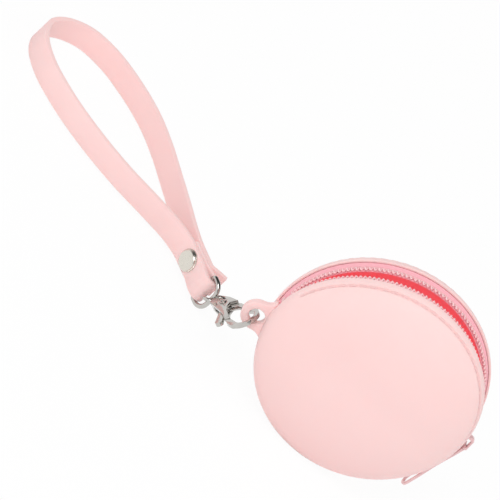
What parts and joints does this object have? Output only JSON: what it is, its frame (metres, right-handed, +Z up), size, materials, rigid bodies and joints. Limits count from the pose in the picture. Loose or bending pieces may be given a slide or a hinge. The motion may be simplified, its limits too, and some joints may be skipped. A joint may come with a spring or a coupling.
{
  "type": "coin purse",
  "caption": "Round silicone coin purse of two domed shells with a zipper over its rim, a moulded eyelet, and a silicone wrist strap hung on it by a metal lobster clasp.",
  "frame": {"origin": "middle of the small flat on the purse's hinge-side rim that it stands on", "axes": "+Z up through the purse's middle to its mouth, -Y out of the front shell, +X towards the end where the zipper starts"},
  "size_m": [0.1918, 0.1319, 0.0808],
  "materials": {
    "silicone": "matte moulded",
    "tape": "woven",
    "teeth": "satin nylon",
    "thread": "twisted",
    "nickel": "polished plate",
    "spring_steel": "drawn"
  },
  "bodies": {
    "purse": {"back_shell": "silicone", "hinge_web": "silicone", "front_pocket": "silicone", "fold_band": "silicone", "eyelet_tab": "silicone", "back_tape": "tape", "back_chain": "teeth", "back_stitching": "thread", "open_end_stop": "nickel", "closed_end_stops": "nickel"},
    "flap": {"front_flap": "silicone", "front_tape": "tape", "front_chain": "teeth", "front_stitching": "thread"},
    "slider": {"slider_body": "nickel", "slider_cap": "nickel"},
    "puller": {"slider_puller": "nickel"},
    "clasp": {"clasp_hook": "nickel", "gate_pin": "nickel", "gate_spring": "spring_steel"},
    "gate": {"clasp_gate": "nickel"},
    "swivel": {"swivel_eye": "nickel"},
    "ring": {"strap_ring": "nickel"},
    "strap": {"wrist_strap": "silicone", "rivet_cap": "nickel", "rivet_post": "nickel"}
  },
  "joints": [
    {"name": "flap_hinge", "type": "hinge", "parent": "purse", "child": "flap", "pos_m": [0, 0, 0.0398], "axis": [1, 0, 0], "range_deg": [-6.5, 28], "stiffness_Nm_per_rad": 0.06, "deforming": ["fold_band", "front_tape", "front_chain"]},
    {"name": "slider_travel", "type": "hinge", "parent": "purse", "child": "slider", "pos_m": [0, 0, 0.0398], "axis": [0, -1, 0], "range_deg": [0, 168]},
    {"name": "puller_swing", "type": "hinge", "parent": "slider", "child": "puller", "pos_m": [0.04288, 0, 0.0412], "axis": [0, -1, 0], "range_deg": [0, 130]},
    {"name": "clasp_swing", "type": "hinge", "parent": "purse", "child": "clasp", "pos_m": [-0.04438, 0, 0.02179], "axis": [-0.8942, 0, 0.4478], "range_deg": [-35, 8]},
    {"name": "gate_hinge", "type": "hinge", "parent": "clasp", "child": "gate", "pos_m": [-0.04865, 0.01292, 0.01325], "axis": [-0.8942, 0, 0.4478], "range_deg": [-18, 0], "stiffness_Nm_per_rad": 0.01, "springref_deg": 20.05, "deforming": ["gate_spring"]},
    {"name": "swivel_turn", "type": "hinge", "parent": "clasp", "child": "swivel", "pos_m": [-0.05171, 0.01996, 0.00715], "axis": [0.315, -0.7108, 0.6289], "continuous": true},
    {"name": "ring_swing", "type": "hinge", "parent": "swivel", "child": "ring", "pos_m": [-0.05246, 0.02166, 0.00564], "axis": [0.9143, 0.4051, 0], "range_deg": [-80, 3]},
    {"name": "strap_swing", "type": "hinge", "parent": "ring", "child": "strap", "pos_m": [-0.05561, 0.02477, 0.00715], "axis": [0, 0, 1], "range_deg": [-40, 40]}
  ]
}
